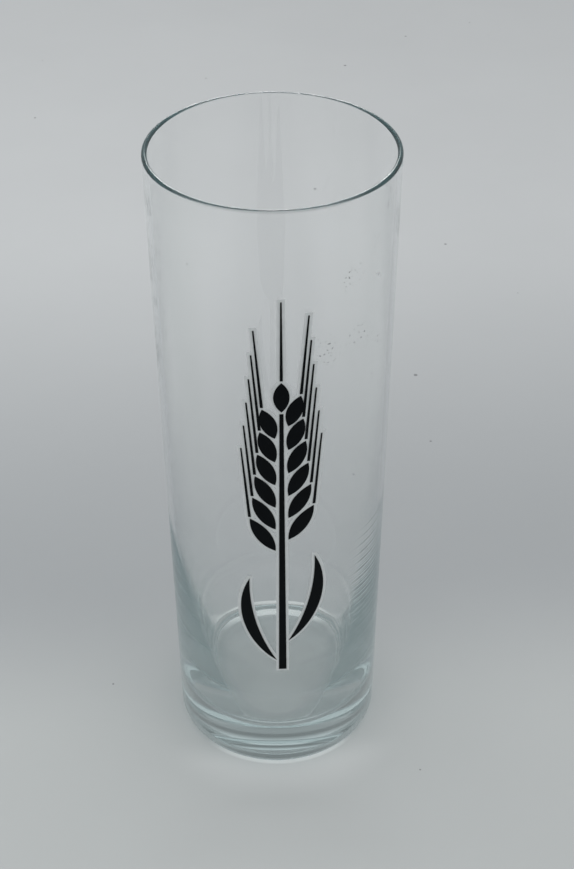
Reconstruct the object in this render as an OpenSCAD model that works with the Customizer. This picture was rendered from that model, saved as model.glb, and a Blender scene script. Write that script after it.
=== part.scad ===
// Slim cylindrical beer glass (stange) with a printed barley ear.
// Millimetres, +Z up, origin at the middle of the face that the glass stands on.
// The print faces -Y.

/* [Glass] */
// Height of the glass
height = 150; // [110:1:220]
// Widest outside diameter of the rim
rim_d = 50; // [46:0.5:70]
// Widest outside diameter of the foot
foot_d = 47.6; // [44:0.2:56]
// Thickness of the wall from the rim down to the bowl
wall = 1.1; // [0.9:0.1:2]
// Radius of the rounded heel between the wall and the underside
heel_r = 2; // [1:0.25:4]

/* [Base] */
// Thickness of the glass in the middle of the base
base_t = 8; // [6:0.25:11]
// Radius of the shallow dish of the inside floor
floor_r = 300; // [150:10:600]
// Radius of the inside corner between the floor and the bowl
corner_r = 5; // [3:0.5:8]
// Radius of the long sweep that thickens the lower wall
sweep_r = 300; // [220:10:400]
// Height at which that sweep runs out into the straight inner wall
sweep_z = 62; // [50:1:70]
// Width of the flat ring that the glass stands on
stand_w = 3.5; // [1.5:0.25:5]
// Depth of the hollow under the base
punt_h = 1.4; // [0.5:0.1:2.5]

/* [Print] */
// Height of the foot of the printed stalk above the table
print_z = 33; // [20:1:44]
// Thickness of the pale fired enamel underlay
underlay_t = 0.2; // [0.12:0.01:0.25]
// Thickness of the black fired enamel on top of it
coat_t = 0.1; // [0.06:0.01:0.2]
// Width of the pale edge that the underlay shows round the black
keyline_w = 0.6; // [0.3:0.05:0.8]

/* [Stalk and leaves] */
// Length of the stalk up to the tip grain
stalk_len = 72; // [70:0.5:76]
// Width of the stalk at its foot
stalk_w = 1.7; // [1:0.1:2]
// Width of the stalk at its top
stalk_top_w = 0.8; // [0.5:0.1:1]
// Length of a leaf from end to end
leaf_len = 25; // [18:0.5:28]
// Bow of a leaf's outer edge
leaf_bow = 4.4; // [3.8:0.1:6]
// Widest part of a leaf
leaf_w = 2.7; // [1.5:0.1:3]
// Lean of a leaf from upright
leaf_lean = 13; // [10:1:22]
// Height of the lower leaf above the foot of the stalk
leaf_z = 3; // [1:0.5:5]
// Step from the lower leaf to the upper one
leaf_step = 6; // [3:0.5:7]

/* [Grains and awns] */
// Grains in each row
grains = 6; // [4:1:6]
// Height of the lowest grain above the foot of the stalk
ear_z = 36; // [34:0.5:38]
// Step between the grains of a row
grain_step = 6; // [5.6:0.1:6.2]
// Length of the lowest grain
grain_len = 10; // [8:0.25:10.5]
// Loss of length from each grain to the next
grain_len_drop = 0.5; // [0:0.1:0.6]
// Width of a grain
grain_w = 3.2; // [2:0.1:3.4]
// Lean of the lowest grain from upright
grain_lean = 32; // [28:1:36]
// Loss of lean from each grain to the next
grain_lean_drop = 2.5; // [0:0.25:2.5]
// Length of an awn
awn_len = 18; // [12:0.5:22]
// Width of an awn where it leaves its grain
awn_w = 0.6; // [0.4:0.05:0.7]
// Width of an awn at its tip
awn_tip_w = 0.3; // [0.2:0.05:0.4]
// Lean of the awns from upright
awn_lean = 4.5; // [4:0.5:7]
// Bare gap between neighbouring black shapes
ink_gap = 0.5; // [0.3:0.05:0.7]

/* [Hidden] */
$fn = 200;
// Arcs are drawn this much too large, so that neighbours cross cleanly instead of just touching.
lap = 0.001;

function unit(v) = v / norm(v);
function along(angle) = [cos(angle), sin(angle)];

// Half section of the glass: each point is [radius, height], and every arc has a centre and two ends.
lip_r = wall / 2;
lip_c = [rim_d / 2 - lip_r, height - lip_r];
heel_c = [foot_d / 2 - heel_r, heel_r];
// The straight outer wall touches the heel circle and the lip circle.
heel_to_lip = lip_c - heel_c;
wall_angle = atan2(heel_to_lip.y, heel_to_lip.x) - acos((heel_r - lip_r) / norm(heel_to_lip));
wall_out = along(wall_angle);
wall_up = along(wall_angle + 90);
heel_top = heel_c + heel_r * wall_out;
heel_foot = [heel_c.x, 0];
lip_out = lip_c + lip_r * wall_out;
lip_in = lip_c - lip_r * wall_out;
// The inner wall runs parallel to the outer one, and the sweep leaves it at sweep_z.
sweep_top = lip_in - wall_up * ((lip_in.y - sweep_z) / wall_up.y);
sweep_c = sweep_top - sweep_r * wall_out;
floor_mid = [0, base_t];
floor_c = [0, base_t + floor_r];
// The corner circle lies inside both the sweep circle and the floor circle and touches both.
floor_reach = floor_r - corner_r;
sweep_reach = sweep_r - corner_r;
centre_line = sweep_c - floor_c;
centre_gap = norm(centre_line);
corner_along = (centre_gap ^ 2 + floor_reach ^ 2 - sweep_reach ^ 2) / (2 * centre_gap);
corner_aside = sqrt(floor_reach ^ 2 - corner_along ^ 2);
corner_c = floor_c + unit(centre_line) * corner_along
    + [-unit(centre_line).y, unit(centre_line).x] * corner_aside;
floor_end = floor_c + floor_r * unit(corner_c - floor_c);
sweep_end = sweep_c + sweep_r * unit(corner_c - sweep_c);
// The hollow under the base is a shallow cap that ends at the standing ring.
punt_r = heel_c.x - stand_w;
punt_ball_r = (punt_r ^ 2 + punt_h ^ 2) / (2 * punt_h);

module disc(centre, radius) {
    translate(centre) circle(radius + lap);
}

// Polygon with the corners cut off, rounded outside by the heel and lip discs and hollowed by the inner arcs.
module glass_section() {
    difference() {
        union() {
            polygon([[0, 0], heel_foot, heel_top, lip_out, lip_in, sweep_top, sweep_end, floor_end, floor_mid]);
            disc(lip_c, lip_r);
            intersection() {
                disc(heel_c, heel_r);
                square([foot_d, height]);
            }
        }
        disc(corner_c, corner_r + lap);
        intersection() {
            disc(sweep_c, sweep_r);
            polygon([corner_c, 2 * sweep_end - corner_c, [rim_d, sweep_z + corner_r], [0, sweep_z + corner_r]]);
        }
        intersection() {
            disc(floor_c, floor_r);
            polygon([corner_c, [0, corner_c.y], [0, 0], 2 * floor_end - corner_c]);
        }
        intersection() {
            translate([0, punt_h - punt_ball_r]) circle(punt_ball_r);
            square([heel_c.x, 2 * punt_h]);
        }
    }
}

module glass_body() {
    color([0.78, 0.86, 0.85, 0.35]) rotate_extrude() glass_section();
}

// Flat outlines of the print: x across, y up from the foot of the stalk, grow adds the keyline all round.

// Lens from the origin up to its tip, between two equal arcs.
module lens(len, width, grow) {
    radius = (len ^ 2 + width ^ 2) / (4 * width);
    intersection_for(side = [-1, 1])
        translate([side * (radius - width / 2), len / 2]) circle(radius + grow);
}

// Crescent from the origin up to its tip, bowed towards +x; the keyline's long tips are cut off square.
module crescent(len, bow, width, grow) {
    hollow = bow - width;
    outer_r = (len ^ 2 / 4 + bow ^ 2) / (2 * bow);
    inner_r = (len ^ 2 / 4 + hollow ^ 2) / (2 * hollow);
    intersection() {
        difference() {
            translate([bow - outer_r, len / 2]) circle(outer_r + grow);
            translate([hollow - inner_r, len / 2]) circle(inner_r - grow);
        }
        translate([-bow, -keyline_w]) square([3 * bow, len + 2 * keyline_w]);
    }
}

// Tapered stroke from the origin upwards.
module stroke(len, foot_w, tip_w, grow) {
    polygon([
        [-foot_w / 2 - grow, -grow], [foot_w / 2 + grow, -grow],
        [tip_w / 2 + grow, len + grow], [-tip_w / 2 - grow, len + grow]
    ]);
}

row_x = stalk_w / 2 + ink_gap;
// Place and size of grain i of the row on one side, -1 left and 1 right; the right row sits half a step up.
function grain_foot(i, side) = [side * row_x, ear_z + grain_step * (i + (side > 0 ? 0.5 : 0))];
function grain_l(i) = grain_len - grain_len_drop * i;
function lean(i) = grain_lean - grain_lean_drop * i;
function grain_tip(i, side) = grain_foot(i, side) + grain_l(i) * [side * sin(lean(i)), cos(lean(i))];
tip_grain_y = stalk_len + ink_gap;

module stalk_outline(grow = 0) {
    stroke(stalk_len, stalk_w, stalk_top_w, grow);
}

module leaf_outline(side, grow = 0) {
    foot_y = side < 0 ? leaf_z : leaf_z + leaf_step;
    translate([side * row_x, foot_y]) rotate(-side * leaf_lean) mirror([side < 0 ? 1 : 0, 0])
        crescent(leaf_len, leaf_bow, leaf_w, grow);
}

module grains_outline(side, grow = 0) {
    for (i = [0 : grains - 1])
        translate(grain_foot(i, side)) rotate(-side * lean(i)) lens(grain_l(i), grain_w, grow);
}

module tip_grain_outline(grow = 0) {
    translate([0, tip_grain_y]) lens(grain_l(grains), grain_w, grow);
}

module awns_outline(grow = 0) {
    for (side = [-1, 1], i = [0 : grains - 1])
        translate(grain_tip(i, side)) rotate(-side * awn_lean)
            translate([0, ink_gap]) stroke(awn_len, awn_w, awn_tip_w, grow);
    translate([0, tip_grain_y + grain_l(grains) + ink_gap]) stroke(awn_len, awn_w, awn_tip_w, grow);
}

// Point of the outer wall at height z, lifted off the glass.
function on_wall(z, lift) = heel_top + wall_up * ((z - heel_top.y) / wall_up.y) + wall_out * lift;

// Outline laid on the wall as a skin of the given thickness, lifted off the glass.
module on_glass(lift, thick) {
    low = heel_top.y;
    high = lip_out.y;
    intersection() {
        rotate_extrude() polygon([
            on_wall(low, lift), on_wall(high, lift), on_wall(high, lift + thick), on_wall(low, lift + thick)
        ]);
        translate([0, 0, print_z]) rotate([90, 0, 0]) linear_extrude(rim_d) children();
    }
}

module black_coat() {
    color([0.03, 0.035, 0.04]) on_glass(underlay_t, coat_t) children();
}

module print_underlay() {
    color([0.8, 0.82, 0.83]) on_glass(0, underlay_t) {
        stalk_outline(keyline_w);
        for (side = [-1, 1]) {
            leaf_outline(side, keyline_w);
            grains_outline(side, keyline_w);
        }
        tip_grain_outline(keyline_w);
        awns_outline(keyline_w);
    }
}

module print_stalk() {
    black_coat() stalk_outline();
}

module print_leaf_left() {
    black_coat() leaf_outline(-1);
}

module print_leaf_right() {
    black_coat() leaf_outline(1);
}

module print_grains_left() {
    black_coat() grains_outline(-1);
}

module print_grains_right() {
    black_coat() grains_outline(1);
}

module print_tip_grain() {
    black_coat() tip_grain_outline();
}

module print_awns() {
    black_coat() awns_outline();
}

glass_body();
print_underlay();
print_stalk();
print_leaf_left();
print_leaf_right();
print_grains_left();
print_grains_right();
print_tip_grain();
print_awns();
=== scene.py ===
"""Looks of a slim cylindrical beer glass with a printed barley ear.

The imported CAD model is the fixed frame. The glass is blown again here as one smooth surface of
revolution, the printed layers keep their CAD solids and get their enamel, and a pale stage with soft
light stands round them. All lengths are metres in the frame of the CAD model: +Z up, the print faces -Y.
"""

import math

import bpy
import numpy as np
from bpy.props import FloatProperty, FloatVectorProperty, IntProperty, PointerProperty
from mathutils import Matrix, Vector


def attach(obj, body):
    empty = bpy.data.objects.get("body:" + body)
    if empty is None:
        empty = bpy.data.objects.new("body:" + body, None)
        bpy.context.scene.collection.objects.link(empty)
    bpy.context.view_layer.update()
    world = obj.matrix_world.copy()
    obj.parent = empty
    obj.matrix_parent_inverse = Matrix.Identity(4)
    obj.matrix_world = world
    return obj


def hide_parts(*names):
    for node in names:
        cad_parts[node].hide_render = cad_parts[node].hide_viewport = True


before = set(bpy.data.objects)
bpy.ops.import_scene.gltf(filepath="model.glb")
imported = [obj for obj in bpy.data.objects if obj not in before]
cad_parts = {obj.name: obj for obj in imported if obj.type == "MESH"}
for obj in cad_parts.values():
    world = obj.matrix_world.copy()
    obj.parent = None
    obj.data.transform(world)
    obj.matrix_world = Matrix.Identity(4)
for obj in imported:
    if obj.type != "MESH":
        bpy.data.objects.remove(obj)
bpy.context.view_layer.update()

bl_info = {
    "name": "Stange Glass",
    "version": (1, 0, 0),
    "blender": (4, 5, 0),
    "location": "View3D > Sidebar > Stange",
    "description": "Blows a slim beer glass, prints it with enamel and sets its stage",
    "category": "Object",
}

MM = 0.001
PALE_NODES = ("print_underlay",)
BLACK_NODES = (
    "print_stalk",
    "print_leaf_left",
    "print_leaf_right",
    "print_grains_left",
    "print_grains_right",
    "print_tip_grain",
    "print_awns",
)
# Height of the picture in pixels, which the focal length is counted in.
PHOTO_HEIGHT = 869


# Settings


def length(label, note, millimetres):
    """Length property, kept in metres."""
    return FloatProperty(
        name=label, description=note, default=millimetres * MM, min=0.0, precision=5, unit="LENGTH"
    )


def amount(label, note, value, top=1.0):
    """Plain number property from 0 up to the top."""
    return FloatProperty(name=label, description=note, default=value, min=0.0, max=top, precision=4)


def colour(label, note, value):
    """Colour property of three linear parts."""
    return FloatVectorProperty(
        name=label, description=note, default=value, size=3, min=0.0, max=1.0, subtype="COLOR"
    )


def degrees(label, note, value):
    """Angle property, kept in radians."""
    return FloatProperty(
        name=label, description=note, default=math.radians(value), precision=4, subtype="ANGLE"
    )


def position(label, value):
    """Coordinate of the camera, of either sign."""
    return FloatProperty(name=label, description="Camera place", default=value, unit="LENGTH")


class GlassSettings(bpy.types.PropertyGroup):
    """Sizes and finish of the glass; the sizes repeat the CAD model's."""

    height: length("Height", "Height of the glass", 150)
    rim_d: length("Rim diameter", "Widest outside diameter of the rim", 50)
    foot_d: length("Foot diameter", "Widest outside diameter of the foot", 47.6)
    wall: length("Wall", "Thickness of the wall above the base", 1.1)
    heel_r: length("Heel radius", "Radius between the wall and the underside", 2)
    base_t: length("Base thickness", "Thickness of the glass in the middle of the base", 8)
    floor_r: length("Floor radius", "Radius of the shallow dish of the inside floor", 300)
    corner_r: length("Corner radius", "Radius between the inside floor and the lower wall", 5)
    sweep_r: length("Sweep radius", "Radius of the sweep that thickens the lower wall", 300)
    sweep_z: length("Sweep height", "Height where the sweep runs out into the wall", 62)
    stand_w: length("Standing ring", "Width of the flat ring that the glass stands on", 3.5)
    punt_h: length("Hollow", "Depth of the hollow under the base", 1.4)
    ripple: length("Ripple", "Height of the ripples on the lower inner wall", 0.01)
    ridge: length("Ridge", "Height of the thin ridges on the right of the lower wall", 0.025)
    segments: IntProperty(
        name="Segments", description="Facets round the glass", default=256, min=64, max=512
    )
    ior: amount("Index", "Index of refraction of the glass", 1.52, 2.0)
    tint: colour("Tint", "Colour that thick glass takes on", (0.40, 0.585, 0.605))
    # Colour of the film, which on the flanks of the glass is partly painted shade.
    film_and_shade: colour("Film", "Colour of the faint film of wear on the surface", (0.955, 0.963, 0.958))
    depth: amount("Tint depth", "How fast thick glass takes on the tint", 17.0, 100.0)


class PrintSettings(bpy.types.PropertyGroup):
    """Colours of the fired enamel."""

    black: colour("Black", "Black enamel", (0.003, 0.004, 0.005))
    pale: colour("Pale", "Pale enamel underlay", (0.84, 0.88, 0.89))


class StageSettings(bpy.types.PropertyGroup):
    """Floor, light and camera."""

    # The floor's near, behind and far colours paint shade along Y, darkest just behind the glass.
    floor_far: colour("Floor far", "Colour of the far floor", (0.53, 0.55, 0.56))
    floor_painted_shade: colour("Floor behind", "Colour of the floor just behind the glass", (0.345, 0.364, 0.376))
    floor_near: colour("Floor near", "Colour of the near floor", (0.44, 0.463, 0.464))
    # Painted light: the colour that lightens the floor at the sides and in the crescents and halo at the
    # foot.
    floor_painted_light: colour("Floor glint", "Colour where the foot gathers light", (0.68, 0.70, 0.70))
    floor_gap: length("Floor gap", "Drop from the standing ring to the stage, which keeps them apart", 0.3)
    key_power: amount("Key light", "Power of the soft light overhead, in watts", 10.0, 100.0)
    world_level: amount("Ambient", "Level of the even light all round", 0.41, 4.0)
    shown_level: amount("Surroundings", "Level of the room that the glass shows", 0.38, 4.0)
    glow_level: amount("Ceiling", "Level of the bright ceiling that shows in the gloss", 1.05, 80.0)
    window_level: amount("Window", "Level of the bright strip low behind, seen in the gloss", 6.5, 80.0)
    camera_x: position("Camera X", 0.0)
    camera_y: position("Camera Y", -0.25975)
    camera_z: position("Camera Z", 0.281)
    pitch: degrees("Pitch", "Camera angle below level", 37.61)
    yaw: degrees("Yaw", "Camera turn to the right", 0.58)
    roll: degrees("Roll", "Camera roll", -0.17)
    orbit: degrees("Orbit", "Turn of the whole camera about the glass", -3.0)
    focal_px: FloatProperty(name="Focal length", description="In pixels of the picture", default=1500.0)


# Shapes

# A straight run gets one more point this close to each end, so that smooth shading stays true there.
GUARD = 0.03 * MM
# Rings of the ripple: middle height, reach up and down from it, and pitch.
RIPPLE_MIDDLE = 0.036
RIPPLE_REACH = 0.015
RIPPLE_PITCH = 0.0062
# Pitch of the slow wave along the height.
SLOW_PITCH = 0.047
# The ripple starts at this radius on the inside floor, and fades over this length there and at the lip.
RIPPLE_START = 0.012
RIPPLE_FADE = 0.004


def unit(v):
    """The vector divided by its length."""
    return v / np.linalg.norm(v)


def arc(centre, radius, start, end, count):
    """Points at one radius from a centre, evenly turned the short way from one direction to the other."""
    a0 = math.atan2(start[1] - centre[1], start[0] - centre[0])
    a1 = math.atan2(end[1] - centre[1], end[0] - centre[0])
    turn = (a1 - a0 + math.pi) % (2 * math.pi) - math.pi
    angle = a0 + turn * np.linspace(0.0, 1.0, count)
    return centre + radius * np.stack([np.cos(angle), np.sin(angle)], axis=1)


def straight(start, end, count):
    """Points evenly spaced from start to end, and one more at the guard distance from each end."""
    guard = GUARD / np.linalg.norm(end - start)
    share = np.sort(np.append(np.linspace(0.0, 1.0, count), (guard, 1.0 - guard)))
    return start + (end - start) * share[:, None]


def glass_profile(g):
    """Half section of the glass as (radius, height) points, and a weight that is 1 on the inner wall.

    The outer wall is the line that touches the heel circle and the lip circle. The inner wall is
    parallel to it. The sweep circle touches the inner wall at the sweep height, the floor is a circle
    about a point on the axis, and the corner circle touches both from inside. The hollow underneath is
    a shallow cap.
    """
    lip_r = g.wall / 2
    lip_c = np.array([g.rim_d / 2 - lip_r, g.height - lip_r])
    heel_c = np.array([g.foot_d / 2 - g.heel_r, g.heel_r])
    rise = lip_c - heel_c
    lean = math.atan2(rise[1], rise[0]) - math.acos((g.heel_r - lip_r) / np.linalg.norm(rise))
    out = np.array([math.cos(lean), math.sin(lean)])
    up = np.array([-out[1], out[0]])
    lip_in = lip_c - lip_r * out
    sweep_top = lip_in - up * ((lip_in[1] - g.sweep_z) / up[1])
    sweep_c = sweep_top - g.sweep_r * out
    floor_c = np.array([0.0, g.base_t + g.floor_r])
    floor_reach = g.floor_r - g.corner_r
    sweep_reach = g.sweep_r - g.corner_r
    gap = np.linalg.norm(sweep_c - floor_c)
    axis = (sweep_c - floor_c) / gap
    along = (gap**2 + floor_reach**2 - sweep_reach**2) / (2 * gap)
    aside = math.sqrt(floor_reach**2 - along**2)
    corner_c = floor_c + axis * along + np.array([-axis[1], axis[0]]) * aside
    floor_end = floor_c + g.floor_r * unit(corner_c - floor_c)
    sweep_end = sweep_c + g.sweep_r * unit(corner_c - sweep_c)
    punt_r = heel_c[0] - g.stand_w
    ball_r = (punt_r**2 + g.punt_h**2) / (2 * g.punt_h)
    ball_c = np.array([0.0, g.punt_h - ball_r])
    ring_in = np.array([punt_r, 0.0])
    ring_out = np.array([heel_c[0], 0.0])
    outside = [
        arc(ball_c, ball_r, np.array([0.0, g.punt_h]), ring_in, count=28),
        straight(ring_in, ring_out, count=8),
        arc(heel_c, g.heel_r, ring_out, heel_c + g.heel_r * out, count=20),
        straight(heel_c + g.heel_r * out, lip_c + lip_r * out, count=16),
        arc(lip_c, lip_r, lip_c + lip_r * out, lip_c + lip_r * up, count=10),
        arc(lip_c, lip_r, lip_c + lip_r * up, lip_in, count=10),
    ]
    inside = [
        straight(lip_in, sweep_top, count=30),
        arc(sweep_c, g.sweep_r, sweep_top, sweep_end, count=164),
        arc(corner_c, g.corner_r, sweep_end, floor_end, count=32),
        arc(floor_c, g.floor_r, floor_end, np.array([0.0, g.base_t]), count=28),
    ]
    parts = [outside[0]] + [p[1:] for p in outside[1:] + inside]
    points = np.concatenate(parts)
    inner_count = sum(len(p) - 1 for p in inside)
    weight = np.zeros(len(points))
    weight[-inner_count:] = 1.0
    return points, weight


def inner_ripple(g, turn, z):
    """Radial ripple of the inner wall at an angle and height, in metres.

    Broad rings about a height above the base, strongest towards +X and tilted a little round the glass,
    and a slow wave all over.
    """
    side = 0.55 + 0.45 * np.cos(turn - 0.2)
    low = np.exp(-(((z - RIPPLE_MIDDLE) / RIPPLE_REACH) ** 2)) * side
    broad = 0.8 * np.sin(2 * np.pi * (z / RIPPLE_PITCH + 0.35 * np.sin(turn + 0.8)))
    slow = 0.5 * np.sin(3 * turn + 40.0 * z) * np.sin(2 * np.pi * z / SLOW_PITCH + turn)
    return g.ripple * (low * broad + slow)


def revolve(points, weight, g):
    """Vertices and faces of the half section turned about Z.

    Vertex (i, j) lies at radius r_i plus ripple and height z_i, turned by j steps. Both ends are on the
    axis, so they are single vertices that close the surface with fans.
    """
    count = g.segments
    turn = np.arange(count) * (2 * np.pi / count)
    body = points[1:-1]
    z = np.repeat(body[:, 1:], count, axis=1)
    floor_edge = np.clip((body[:, 0] - RIPPLE_START) / RIPPLE_FADE, 0.0, 1.0)
    lip_edge = np.clip((g.height - body[:, 1]) / RIPPLE_FADE, 0.0, 1.0)
    share = weight[1:-1] * (floor_edge * lip_edge)
    radius = body[:, :1] + inner_ripple(g, turn[None, :], z) * share[:, None]
    rings = np.stack([radius * np.cos(turn), radius * np.sin(turn), z], axis=-1).reshape(-1, 3)
    low = np.array([[0.0, 0.0, points[0, 1]]])
    high = np.array([[0.0, 0.0, points[-1, 1]]])
    vertices = np.concatenate([rings, low, high])
    i, j = np.meshgrid(np.arange(len(body) - 1), np.arange(count), indexing="ij")
    k = (j + 1) % count
    quads = np.stack([i * count + j, i * count + k, (i + 1) * count + k, (i + 1) * count + j], axis=-1)
    j = np.arange(count)
    k = (j + 1) % count
    last = (len(body) - 1) * count
    low_fan = np.stack([np.full(count, len(rings)), k, j], axis=-1)
    high_fan = np.stack([last + j, last + k, np.full(count, len(rings) + 1)], axis=-1)
    return vertices, quads.reshape(-1, 4).tolist() + low_fan.tolist() + high_fan.tolist()


def floor_grid(half, drop, count):
    """Square floor: x and y run evenly over both halves, z is the drop below the standing ring."""
    line = np.linspace(-half, half, count)
    x, y = np.meshgrid(line, line, indexing="ij")
    vertices = np.stack([x, y, np.full_like(x, -drop)], axis=-1).reshape(-1, 3)
    i, j = np.meshgrid(np.arange(count - 1), np.arange(count - 1), indexing="ij")
    this = i * count + j
    following = (i + 1) * count + j
    faces = np.stack([this, following, following + 1, this + 1], axis=-1)
    return vertices, faces.reshape(-1, 4).tolist()


def new_object(name, vertices, faces, material):
    """Smooth mesh object at the origin, with one material."""
    mesh = bpy.data.meshes.new(name)
    mesh.from_pydata(vertices.tolist(), [], faces)
    mesh.shade_smooth()
    mesh.materials.append(material)
    if mesh.validate():
        raise RuntimeError(f"the mesh of {name} had faults")
    made = bpy.data.objects.new(name, mesh)
    bpy.context.scene.collection.objects.link(made)
    return made


# Node helpers


def add(tree, kind, **values):
    """New node; a value whose name is a property sets it, and any other sets the input of that name."""
    made = tree.nodes.new("ShaderNode" + kind)
    for name, value in values.items():
        if name in made.bl_rna.properties:
            setattr(made, name, value)
    for name, value in values.items():
        if name not in made.bl_rna.properties:
            made.inputs[name].default_value = value
    return made


def link(tree, source, target):
    """Link a socket to an input, or set the input where the source is a plain value."""
    if isinstance(source, bpy.types.NodeSocket):
        tree.links.new(source, target)
    else:
        target.default_value = source


def maths(tree, operation, first, *others):
    """Output of a Math node, or of a chain of them over several inputs; each is a socket or a number."""
    for other in others or (0.0,):
        made = add(tree, "Math", operation=operation)
        link(tree, first, made.inputs[0])
        link(tree, other, made.inputs[1])
        first = made.outputs[0]
    return first


def vectors(tree, operation, first, second=(0.0, 0.0, 0.0)):
    """Outputs of a Vector Math node; the second input is a socket or a triple."""
    made = add(tree, "VectorMath", operation=operation)
    link(tree, first, made.inputs[0])
    link(tree, second, made.inputs[1])
    return made.outputs


def axes(tree, place):
    """X, Y and Z of a vector."""
    parts = add(tree, "SeparateXYZ")
    link(tree, place, parts.inputs[0])
    return parts.outputs["X"], parts.outputs["Y"], parts.outputs["Z"]


def remap(tree, value, low, high, to_low=0.0, to_high=1.0):
    """Output of a smooth Map Range node."""
    made = add(tree, "MapRange", interpolation_type="SMOOTHSTEP")
    link(tree, value, made.inputs["Value"])
    for name, number in zip(("From Min", "From Max", "To Min", "To Max"), (low, high, to_low, to_high)):
        made.inputs[name].default_value = number
    return made.outputs["Result"]


def fade(tree, value, low, high):
    """Output that falls smoothly from 1 to 0 over a range."""
    return remap(tree, value, low, high, 1.0, 0.0)


def between(tree, value, rise, fall):
    """Output that is 1 between two smooth edges, each given as the range that it takes."""
    return maths(tree, "MULTIPLY", remap(tree, value, *rise), fade(tree, value, *fall))


def blend_colours(tree, factor, first, second):
    """Output of a colour Mix node; the colours are sockets or triples."""
    made = add(tree, "Mix", data_type="RGBA")
    link(tree, factor, made.inputs["Factor"])
    for value, target in zip((first, second), (made.inputs[6], made.inputs[7])):
        if isinstance(value, bpy.types.NodeSocket):
            link(tree, value, target)
        else:
            link(tree, (*value, 1.0), target)
    return made.outputs[2]


def mix_shaders(tree, factor, first, second):
    """Output of a Mix Shader node: the first shader where the factor is 0, the second where it is 1."""
    made = add(tree, "MixShader")
    for source, target in zip((factor, first.outputs[0], second.outputs[0]), made.inputs):
        link(tree, source, target)
    return made.outputs[0]


def new_group(name, inputs, output):
    """Empty shader group with a Vector input, float inputs given as name: default, and a float output."""
    group = bpy.data.node_groups.new(name, "ShaderNodeTree")
    group.interface.new_socket("Vector", in_out="INPUT", socket_type="NodeSocketVector")
    for label, value in inputs.items():
        socket = group.interface.new_socket(label, in_out="INPUT", socket_type="NodeSocketFloat")
        socket.default_value = value
    group.interface.new_socket(output, in_out="OUTPUT", socket_type="NodeSocketFloat")
    return group, group.nodes.new("NodeGroupInput"), group.nodes.new("NodeGroupOutput")


def mottle_group():
    """Soft uneven patches: noise at Scale, spread to the range 0 to 1 by Contrast."""
    name = "soft_mottle"
    if name in bpy.data.node_groups:
        return bpy.data.node_groups[name]
    tree, given, result = new_group(name, {"Scale": 100.0, "Contrast": 2.0}, "Value")
    noise = add(tree, "TexNoise", Detail=4.0, Roughness=0.6)
    link(tree, given.outputs["Vector"], noise.inputs["Vector"])
    link(tree, given.outputs["Scale"], noise.inputs["Scale"])
    centred = maths(tree, "SUBTRACT", noise.outputs["Fac"], 0.5)
    spread = maths(tree, "MULTIPLY", centred, given.outputs["Contrast"])
    value = add(tree, "Math", operation="ADD", use_clamp=True)
    link(tree, spread, value.inputs[0])
    link(tree, 0.5, value.inputs[1])
    link(tree, value.outputs[0], result.inputs["Value"])
    return tree


def speck_group():
    """Small round specks: cells at Scale, of which the Share given holds a dot of the Size given."""
    name = "fine_specks"
    if name in bpy.data.node_groups:
        return bpy.data.node_groups[name]
    tree, given, result = new_group(name, {"Scale": 100.0, "Size": 0.1, "Share": 0.1}, "Mask")
    cells = add(tree, "TexVoronoi", Randomness=1.0)
    link(tree, given.outputs["Vector"], cells.inputs["Vector"])
    link(tree, given.outputs["Scale"], cells.inputs["Scale"])
    parts = add(tree, "SeparateColor")
    link(tree, cells.outputs["Color"], parts.inputs[0])
    chosen = maths(tree, "LESS_THAN", parts.outputs[0], given.outputs["Share"])
    size = maths(tree, "MULTIPLY", given.outputs["Size"], maths(tree, "ADD", parts.outputs[1], 0.3))
    inside = maths(tree, "LESS_THAN", cells.outputs["Distance"], size)
    link(tree, maths(tree, "MULTIPLY", chosen, inside), result.inputs["Mask"])
    return tree


def use_group(tree, group, vector, **values):
    """Output of a shader group read at a vector, with its other inputs given by name."""
    made = add(tree, "Group", node_tree=group)
    link(tree, vector, made.inputs["Vector"])
    for name, value in values.items():
        made.inputs[name].default_value = value
    return made.outputs[0]


def new_material(name):
    """Material with a Principled shader, and the Object coordinates that its patterns read."""
    material = bpy.data.materials.new(name)
    material.use_nodes = True
    tree = material.node_tree
    tree.nodes.clear()
    surface = add(tree, "BsdfPrincipled")
    output = add(tree, "OutputMaterial")
    place = add(tree, "TexCoord")
    link(tree, surface.outputs[0], output.inputs["Surface"])
    return material, tree, surface, output, place.outputs["Object"]


# Materials

WHITE = (1.0, 1.0, 1.0)
DIRT = (0.12, 0.13, 0.13)
# Share of a lamp's light that passes the flanks of the wall.
FLANK_LIGHT = (0.83, 0.84, 0.84)
# Heights over which the base passes into the wall.
WALL_START = (0.009, 0.016)
# Distances from the middle plane over which the film and the flanks' shade set in, and their weight
# within. On the flanks the film's darkening is partly painted shade.
FILM_AND_SHADE_EDGE = (0.013, 0.019)
FILM_AND_SHADE_WITHIN = 0.03
SHADE_EDGE = (0.010, 0.021)
SHADE_WITHIN = 0.1
# Parts of the uneven patterns that count as a worn mark, a dried crumb and a smear.
MARK_RANGE = (0.72, 0.95)
CRUMB_RANGE = (0.90, 0.99)
SMEAR_RANGE = (0.75, 1.0)
# Darkness of a worn mark, and roughness of a smear and of a speck.
MARK_WEIGHT = 0.6
SMEAR_ROUGHNESS = 0.03
SPECK_ROUGHNESS = 0.25
# Worn bands of the flanks: side along X, lower and upper height. Then the distance from the middle
# plane where a flank begins, and the height over which a band fades.
SCUFFS = ((-1, 0.1395, 0.1425), (-1, 0.119, 0.132), (-1, 0.102, 0.110), (1, 0.1345, 0.139))
SCUFF_FLANK = (0.0236, 0.0242)
SCUFF_EDGE = 0.002
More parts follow.
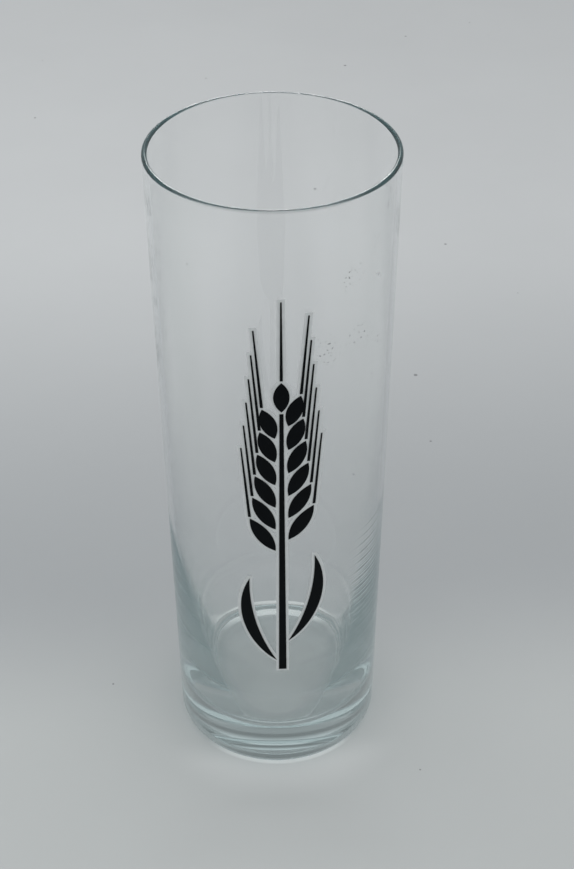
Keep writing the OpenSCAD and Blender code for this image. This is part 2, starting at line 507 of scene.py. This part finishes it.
# Spatters of dried specks on the front: middle and reach.
SPATTERS = (
    ((0.0095, -0.0227, 0.118), 0.0045),
    ((0.0160, -0.0188, 0.119), 0.0040),
    ((0.0140, -0.0204, 0.133), 0.0035),
    ((0.0190, -0.0158, 0.138), 0.0025),
    ((0.0200, -0.0145, 0.115), 0.0020),
)
# Thin ridges: height of the first, ridges in a metre there, and how much closer they get with height.
RIDGE_START = 0.02
RIDGE_RATE = 180.0
RIDGE_CLOSING = 3000.0
# Edges of the patch with ridges: below, above, on its left and towards the rear.
RIDGE_BELOW = (0.018, 0.026)
RIDGE_ABOVE = (0.062, 0.070)
RIDGE_LEFT = (0.0145, 0.0195)
RIDGE_REAR = (-0.006, 0.0)
# Share of the enamel's upward slope that shows, and how strongly its edges are turned outward.
UPWARD_SHARE = 0.16
OUTWARD_PULL = 12.0
# Floor along Y, a painted shade that is darkest just behind the glass: near to just behind the glass, from
# there to the far part; and where the painted light on the sides ends.
NEAR_TO_PAINTED_SHADE = (-0.015, 0.045)
PAINTED_SHADE_TO_FAR = (0.045, 0.24)
PAINTED_SIDES_END = (0.04, 0.14)
# Floor along X: where the painted light on the sides begins, and from where to where painted shade makes
# it dimmer to the right.
PAINTED_SIDES_START = (0.09, 0.17)
PAINTED_SHADE_RIGHT = (-0.12, 0.12)
# Weights of the painted light on the sides, the painted shade on the right, the clouds and the dust.
PAINTED_SIDES_WEIGHT = 0.65
PAINTED_SHADE_RIGHT_WEIGHT = 0.13
CLOUD_WEIGHT = 0.06
DUST_WEIGHT = 0.55
# Colour towards which the painted shade on the right and the clouds darken the floor.
FLOOR_SHADE = (0.25, 0.26, 0.27)
DUST = (0.08, 0.08, 0.085)
# Painted light: bright crescents on the floor at the foot, standing in for light that the foot gathers.
# Inner and outer edge, width added behind, where along Y that sets in, and where along Y they end.
CRESCENT_INNER = (0.0214, 0.0222)
CRESCENT_OUTER = (0.0230, 0.0242)
CRESCENT_REAR = 0.004
CRESCENT_TURN = (-0.01, 0.01)
CRESCENT_ENDS = (0.014, 0.0215)
# Painted light: a soft halo on the floor in front of the foot, which lifts the shade there. Reach,
# weight at the foot, and where it ends along Y.
HALO_REACH = (0.0240, 0.0360)
HALO_WEIGHT = 0.28
HALO_END = (-0.024, -0.015)


def stretched(tree, place, scale):
    """The vector with each axis scaled; a texture read there is drawn out along the smallest scale."""
    return vectors(tree, "MULTIPLY", place, scale)["Vector"]


def scuffed(tree, x, z):
    """1 on the bands where glasses rub in a crate: the two flanks, each at a few heights."""
    bands = []
    for side, low, high in SCUFFS:
        flank = remap(tree, maths(tree, "MULTIPLY", x, side), *SCUFF_FLANK)
        level = between(tree, z, (low - SCUFF_EDGE, low), (high, high + SCUFF_EDGE))
        bands.append(maths(tree, "MULTIPLY", flank, level))
    return maths(tree, "MAXIMUM", *bands)


def spattered(tree, place):
    """1 near the places that carry a spatter of dried specks, fading out at the given reach."""
    spots = []
    for centre, reach in SPATTERS:
        apart = vectors(tree, "DISTANCE", place, centre)["Value"]
        spots.append(fade(tree, apart, 0.6 * reach, reach))
    return maths(tree, "MAXIMUM", *spots)


def ridged(tree, x, y, z):
    """Height of thin ridges round the lower wall on the right, 0 to 1, closer together higher up."""
    rise = maths(tree, "SUBTRACT", z, RIDGE_START)
    rate = maths(tree, "ADD", maths(tree, "MULTIPLY", rise, RIDGE_CLOSING), RIDGE_RATE)
    wave = maths(tree, "SINE", maths(tree, "MULTIPLY", rise, rate, math.pi))
    crest = fade(tree, maths(tree, "ABSOLUTE", wave), 0.0, 0.45)
    band = between(tree, z, RIDGE_BELOW, RIDGE_ABOVE)
    return maths(tree, "MULTIPLY", crest, band, remap(tree, x, *RIDGE_LEFT), fade(tree, y, *RIDGE_REAR))


def glass_material(g):
    """Clear soda glass with a slight tint that grows with depth.

    On its surface are a faint streaky film, smears, scuffs on the flanks, spatters of dried specks and
    thin ridges low on the right. The film is strongest on the flanks, where its darkening is partly
    painted shade. A lamp's light passes straight through, a little dimmed by the flanks.
    """
    material, tree, surface, output, place = new_material("clear_glass")
    surface.inputs["IOR"].default_value = g.ior
    surface.inputs["Transmission Weight"].default_value = 1.0
    x, y, z = axes(tree, place)
    aside = maths(tree, "ABSOLUTE", x)

    upright = stretched(tree, place, (1.0, 1.0, 0.3))
    marks = use_group(tree, mottle_group(), upright, Scale=900.0, Contrast=5.0)
    worn = maths(tree, "MULTIPLY", remap(tree, marks, *MARK_RANGE, 0.0, MARK_WEIGHT), scuffed(tree, x, z))
    crumbs = use_group(tree, mottle_group(), place, Scale=1500.0, Contrast=3.0)
    dirt = maths(tree, "MULTIPLY", remap(tree, crumbs, *CRUMB_RANGE), spattered(tree, place))
    soiled = maths(tree, "MAXIMUM", dirt, worn)
    drawn = stretched(tree, place, (1.0, 1.0, 0.12))
    # A faint streaky film, nearly left out in the middle; on the flanks its darkening is partly painted
    # shade.
    film_and_shade = use_group(tree, mottle_group(), drawn, Scale=55.0, Contrast=2.6)
    film_and_shade = maths(tree, "MULTIPLY", film_and_shade, remap(tree, aside, *FILM_AND_SHADE_EDGE, FILM_AND_SHADE_WITHIN, 1.0))
    filmed_and_shaded = blend_colours(tree, film_and_shade, WHITE, g.film_and_shade)
    link(tree, blend_colours(tree, soiled, filmed_and_shaded, DIRT), surface.inputs["Base Color"])

    smear = use_group(tree, mottle_group(), place, Scale=45.0, Contrast=3.0)
    haze = remap(tree, smear, *SMEAR_RANGE, 0.0, SMEAR_ROUGHNESS)
    specks = use_group(tree, speck_group(), place, Scale=160.0, Size=0.12, Share=0.02)
    dotted = maths(tree, "MULTIPLY", maths(tree, "MAXIMUM", specks, soiled), SPECK_ROUGHNESS)
    link(tree, maths(tree, "ADD", haze, dotted), surface.inputs["Roughness"])

    bump = add(tree, "Bump", Strength=1.0, Distance=g.ridge)
    link(tree, ridged(tree, x, y, z), bump.inputs["Height"])
    link(tree, bump.outputs[0], surface.inputs["Normal"])
    body = add(tree, "VolumeAbsorption", Color=(*g.tint, 1.0), Density=g.depth)
    link(tree, body.outputs[0], output.inputs["Volume"])

    path = add(tree, "LightPath")
    clear = add(tree, "BsdfTransparent")
    flanks = remap(tree, aside, *SHADE_EDGE, SHADE_WITHIN, 1.0)
    shade = maths(tree, "MULTIPLY", remap(tree, z, *WALL_START), flanks)
    link(tree, blend_colours(tree, shade, WHITE, FLANK_LIGHT), clear.inputs["Color"])
    mix = mix_shaders(tree, path.outputs["Is Shadow Ray"], surface, clear)
    link(tree, mix, output.inputs["Surface"])
    return material


def levelled(tree, place):
    """The surface normal with most of its upward part taken out, turned outward where little is left."""
    facing = add(tree, "TexCoord")
    level = stretched(tree, facing.outputs["Normal"], (1.0, 1.0, UPWARD_SHARE))
    outward = stretched(tree, place, (OUTWARD_PULL, OUTWARD_PULL, 0.0))
    total = vectors(tree, "ADD", level, outward)["Vector"]
    return vectors(tree, "NORMALIZE", total)["Vector"]


def enamel_material(name, base, deep, roughness, gloss):
    """Fired enamel: uneven ink, satin gloss that varies with it, fine grain of the printing screen.

    Its thin edges are shaded much like its faces, because a real coat has no visible edge.
    """
    material, tree, surface, _, place = new_material(name)
    patches = use_group(tree, mottle_group(), place, Scale=420.0, Contrast=2.2)
    grain = use_group(tree, mottle_group(), place, Scale=5200.0, Contrast=1.6)
    link(tree, blend_colours(tree, patches, base, deep), surface.inputs["Base Color"])
    link(tree, remap(tree, patches, 0.0, 1.0, *roughness), surface.inputs["Roughness"])
    bump = add(tree, "Bump", Strength=0.25, Distance=0.00003)
    link(tree, grain, bump.inputs["Height"])
    link(tree, levelled(tree, place), bump.inputs["Normal"])
    link(tree, bump.outputs[0], surface.inputs["Normal"])
    surface.inputs["Specular IOR Level"].default_value = gloss
    return material


def painted_caustics(tree, place):
    """1 on the two crescents of the floor where the foot gathers light, and less in a halo in front.

    The crescents and the halo are painted light. The crescents are parts of a ring round the foot: a thin
    one in front and a wider one behind.
    """
    _, y, _ = axes(tree, place)
    apart = vectors(tree, "LENGTH", place)["Value"]
    wide = remap(tree, y, *CRESCENT_TURN, 0.0, CRESCENT_REAR)
    inner = remap(tree, apart, *CRESCENT_INNER)
    outer = fade(tree, maths(tree, "SUBTRACT", apart, wide), *CRESCENT_OUTER)
    ends = remap(tree, maths(tree, "ABSOLUTE", y), *CRESCENT_ENDS)
    halo = remap(tree, apart, *HALO_REACH, HALO_WEIGHT, 0.0)
    halo = maths(tree, "MULTIPLY", halo, fade(tree, y, *HALO_END))
    return maths(tree, "MAXIMUM", maths(tree, "MULTIPLY", inner, outer, ends), halo)


def floor_material(s):
    """Pale matt board with faint cloudy unevenness and a few dark specks of dust.

    Its tones paint light and shade: painted shade makes it darkest just behind the glass and lighter in
    the far part, painted light lightens the sides, painted shade makes it a little dimmer to the right,
    and painted light makes crescents bright where the foot would gather light.
    """
    material, tree, surface, _, place = new_material("pale_board")
    x, y, _ = axes(tree, place)
    # Painted shade: the floor is darkest just behind the glass and lighter in the far part.
    tone = blend_colours(tree, remap(tree, y, *NEAR_TO_PAINTED_SHADE), s.floor_near, s.floor_painted_shade)
    tone = blend_colours(tree, remap(tree, y, *PAINTED_SHADE_TO_FAR), tone, s.floor_far)
    # Painted light: the floor is lighter at the sides, fading out towards the far part.
    painted_sides = remap(tree, maths(tree, "ABSOLUTE", x), *PAINTED_SIDES_START, 0.0, PAINTED_SIDES_WEIGHT)
    pale = maths(tree, "MULTIPLY", painted_sides, fade(tree, y, *PAINTED_SIDES_END))
    tone = blend_colours(tree, pale, tone, s.floor_painted_light)
    clouds = use_group(tree, mottle_group(), place, Scale=14.0, Contrast=1.5)
    # Painted shade: the floor gets a little dimmer to the right, besides the cloudy unevenness.
    aside = remap(tree, x, *PAINTED_SHADE_RIGHT, 0.0, PAINTED_SHADE_RIGHT_WEIGHT)
    dim = maths(tree, "ADD", aside, remap(tree, clouds, 0.0, 1.0, 0.0, CLOUD_WEIGHT))
    shade = blend_colours(tree, dim, tone, FLOOR_SHADE)
    dust = use_group(tree, speck_group(), place, Scale=95.0, Size=0.06, Share=0.10)
    dusty = blend_colours(tree, maths(tree, "MULTIPLY", dust, DUST_WEIGHT), shade, DUST)
    # Painted light: bright crescents and a soft halo on the floor at the foot.
    glint = blend_colours(tree, painted_caustics(tree, place), dusty, s.floor_painted_light)
    link(tree, glint, surface.inputs["Base Color"])
    surface.inputs["Roughness"].default_value = 0.75
    surface.inputs["Specular IOR Level"].default_value = 0.0
    return material


# Stage

# Light that enters at the lip runs down inside the thin wall, so it is followed for many bounces.
LIGHT_BOUNCES = 160
FLOOR_HALF = 1.6
FLOOR_COUNT = 9
KEY_PLACE = (0.03, 0.0, 1.15)
KEY_AIM = (0.0, 0.0, 0.05)
KEY_SIZE = 0.6
# Room by the Z of a direction: where it gets brighter overhead, and its levels below and above that.
ROOM_RISE = (0.78, 1.0)
ROOM_LEVELS = (1.1, 2.6)
# Dark band behind: lower and upper edge in Z, where it sets in along Y, and what it adds to the level.
BAND_BELOW = (0.58, 0.66)
BAND_ABOVE = (0.74, 0.82)
BAND_REAR = (0.1, 0.4)
BAND_LEVEL = -0.36
# Front of the room: where it gets dimmer along Y, and by what factor.
FRONT_EDGE = (-0.9, 0.1)
FRONT_FACTOR = 0.95
# Lower edge of the bright ceiling in Z, and the ceiling's and the strip's grey.
CEILING_EDGE = (0.60, 0.72)
GLOW_GREY = (0.8, 0.8, 0.8, 1.0)
# Bright strip: how far behind it is, its top edge, and its middle and half width along X.
WINDOW_REAR = (0.6, 0.85)
WINDOW_TOP = (0.36, 0.48)
WINDOW_MIDDLE = 0.045
WINDOW_HALF = (0.08, 0.20)
# The world counts a first reflection as depth 2 and later ones higher.
FIRST_REFLECTION = 2.5


def room_level(tree, y, z):
    """Brightness of the room: higher overhead, with a darker band behind, a little dimmer in front."""
    height = remap(tree, z, *ROOM_RISE, *ROOM_LEVELS)
    band = between(tree, z, BAND_BELOW, BAND_ABOVE)
    shelf = maths(tree, "MULTIPLY", band, remap(tree, y, *BAND_REAR, 0.0, BAND_LEVEL))
    front = remap(tree, y, *FRONT_EDGE, FRONT_FACTOR, 1.0)
    return maths(tree, "MULTIPLY", maths(tree, "ADD", height, shelf), front)


def gloss_level(tree, s, path, x, y, z):
    """Brightness that only reflections add: a ceiling, and in first reflections a strip low behind."""
    mirrored = maths(tree, "SUBTRACT", path["Is Glossy Ray"], path["Is Transmission Ray"])
    ceiling = remap(tree, z, *CEILING_EDGE, 0.0, s.glow_level)
    across = maths(tree, "ABSOLUTE", maths(tree, "SUBTRACT", x, WINDOW_MIDDLE))
    strip = maths(
        tree,
        "MULTIPLY",
        remap(tree, y, *WINDOW_REAR),
        remap(tree, z, *WINDOW_TOP, s.window_level, 0.0),
        fade(tree, across, *WINDOW_HALF),
        maths(tree, "LESS_THAN", path["Ray Depth"], FIRST_REFLECTION),
    )
    return maths(tree, "MULTIPLY", mirrored, maths(tree, "ADD", ceiling, strip))


def set_world(s):
    """Even light all round, while the camera and the glass see a soft room instead."""
    world = bpy.data.worlds.new("soft_room")
    bpy.context.scene.world = world
    world.use_nodes = True
    tree = world.node_tree
    tree.nodes.clear()
    place = add(tree, "TexCoord")
    x, y, z = axes(tree, place.outputs["Generated"])
    path = add(tree, "LightPath").outputs
    room = add(tree, "Background", Strength=s.shown_level)
    link(tree, room_level(tree, y, z), room.inputs["Color"])
    glow = add(tree, "Background", Color=GLOW_GREY)
    link(tree, gloss_level(tree, s, path, x, y, z), glow.inputs["Strength"])
    shown = add(tree, "AddShader")
    link(tree, room.outputs[0], shown.inputs[0])
    link(tree, glow.outputs[0], shown.inputs[1])
    light = add(tree, "Background", Color=(1.0, 1.0, 1.0, 1.0), Strength=s.world_level)
    seen = maths(
        tree, "MAXIMUM", path["Is Glossy Ray"], path["Is Transmission Ray"], path["Is Camera Ray"]
    )
    output = add(tree, "OutputWorld")
    link(tree, mix_shaders(tree, seen, light, shown), output.inputs["Surface"])


def area_light(name, power, place, aim, size):
    """Square lamp that lights the object but doesn't show in the glass."""
    lamp = bpy.data.lights.new(name, "AREA")
    lamp.energy = power
    lamp.shape = "RECTANGLE"
    lamp.size = size
    lamp.size_y = size
    made = bpy.data.objects.new(name, lamp)
    made.location = place
    made.rotation_euler = (Vector(aim) - Vector(place)).to_track_quat("-Z", "Y").to_euler()
    made.visible_transmission = False
    made.visible_glossy = False
    bpy.context.scene.collection.objects.link(made)


def set_camera(s):
    """Camera at the picture's angle, turned about the axis of the glass by the orbit angle."""
    lens = bpy.data.cameras.new("picture_camera")
    lens.sensor_width = 36.0
    lens.lens = lens.sensor_width * s.focal_px / PHOTO_HEIGHT
    lens.clip_start = 0.01
    camera = bpy.data.objects.new("picture_camera", lens)
    bpy.context.scene.collection.objects.link(camera)
    bpy.context.scene.camera = camera
    aim = (
        Matrix.Rotation(-s.yaw, 4, "Z")
        @ Matrix.Rotation(math.pi / 2 - s.pitch, 4, "X")
        @ Matrix.Rotation(s.roll, 4, "Z")
    )
    place = Matrix.Translation((s.camera_x, s.camera_y, s.camera_z))
    camera.matrix_world = Matrix.Rotation(s.orbit, 4, "Z") @ place @ aim


# Operators


def dress(names, material):
    """Give CAD nodes, which keep their shape, one material."""
    for name in names:
        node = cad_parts[name]
        node.data.materials.clear()
        node.data.materials.append(material)


class STANGE_OT_blow_glass(bpy.types.Operator):
    """Make the glass as one smooth surface of revolution in place of its CAD solid"""

    bl_idname = "stange.blow_glass"
    bl_label = "Blow Glass"

    def execute(self, context):
        settings = context.scene.stange_glass
        points, weight = glass_profile(settings)
        vertices, faces = revolve(points, weight, settings)
        glass = new_object("blown_glass", vertices, faces, glass_material(settings))
        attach(glass, "root")
        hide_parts("glass_body")
        return {"FINISHED"}


class STANGE_OT_print_underlay(bpy.types.Operator):
    """Give the pale printed layer its enamel"""

    bl_idname = "stange.print_underlay"
    bl_label = "Print Underlay"

    def execute(self, context):
        pale = tuple(context.scene.stange_print.pale)
        deep = tuple(0.9 * v for v in pale)
        dress(PALE_NODES, enamel_material("pale_enamel", pale, deep, roughness=(0.38, 0.55), gloss=0.4))
        return {"FINISHED"}


class STANGE_OT_print_black(bpy.types.Operator):
    """Give the black printed shapes their enamel"""

    bl_idname = "stange.print_black"
    bl_label = "Print Black"

    def execute(self, context):
        black = tuple(context.scene.stange_print.black)
        deep = tuple(1.6 * v for v in black)
        dress(BLACK_NODES, enamel_material("black_enamel", black, deep, roughness=(0.34, 0.5), gloss=0.05))
        return {"FINISHED"}


class STANGE_OT_set_stage(bpy.types.Operator):
    """Lay the pale floor and set the soft light and the camera"""

    bl_idname = "stange.set_stage"
    bl_label = "Set Stage"

    def execute(self, context):
        scene = context.scene
        settings = scene.stange_stage
        vertices, faces = floor_grid(FLOOR_HALF, settings.floor_gap, FLOOR_COUNT)
        floor = new_object("pale_floor", vertices, faces, floor_material(settings))
        set_world(settings)
        area_light("soft_key", settings.key_power, KEY_PLACE, KEY_AIM, KEY_SIZE)
        set_camera(settings)
        scene.view_settings.view_transform = "Standard"
        scene.cycles.max_bounces = LIGHT_BOUNCES
        scene.cycles.transmission_bounces = LIGHT_BOUNCES
        scene.cycles.glossy_bounces = LIGHT_BOUNCES
        scene.cycles.caustics_refractive = True
        scene.cycles.caustics_reflective = False
        scene.cycles.sample_clamp_indirect = 0.0
        return {"FINISHED"}


class STANGE_PT_panel(bpy.types.Panel):
    """Steps and settings of the glass"""

    bl_idname = "STANGE_PT_panel"
    bl_label = "Stange Glass"
    bl_space_type = "VIEW_3D"
    bl_region_type = "UI"
    bl_category = "Stange"

    def draw(self, context):
        layout = self.layout
        for step in STEPS:
            layout.operator(step.bl_idname)
        for group in GROUPS:
            settings = getattr(context.scene, group)
            box = layout.box()
            for name in settings.__annotations__:
                box.prop(settings, name)


GROUPS = {"stange_glass": GlassSettings, "stange_print": PrintSettings, "stange_stage": StageSettings}
STEPS = (STANGE_OT_blow_glass, STANGE_OT_print_underlay, STANGE_OT_print_black, STANGE_OT_set_stage)


def register():
    for made in (*GROUPS.values(), *STEPS, STANGE_PT_panel):
        bpy.utils.register_class(made)
    for name, group in GROUPS.items():
        setattr(bpy.types.Scene, name, PointerProperty(type=group))


def unregister():
    for name in GROUPS:
        delattr(bpy.types.Scene, name)
    for made in (STANGE_PT_panel, *reversed(STEPS), *reversed(GROUPS.values())):
        bpy.utils.unregister_class(made)


def main():
    register()
    bpy.ops.stange.blow_glass()
    bpy.ops.stange.print_underlay()
    bpy.ops.stange.print_black()
    bpy.ops.stange.set_stage()


if __name__ == "__main__":
    main()
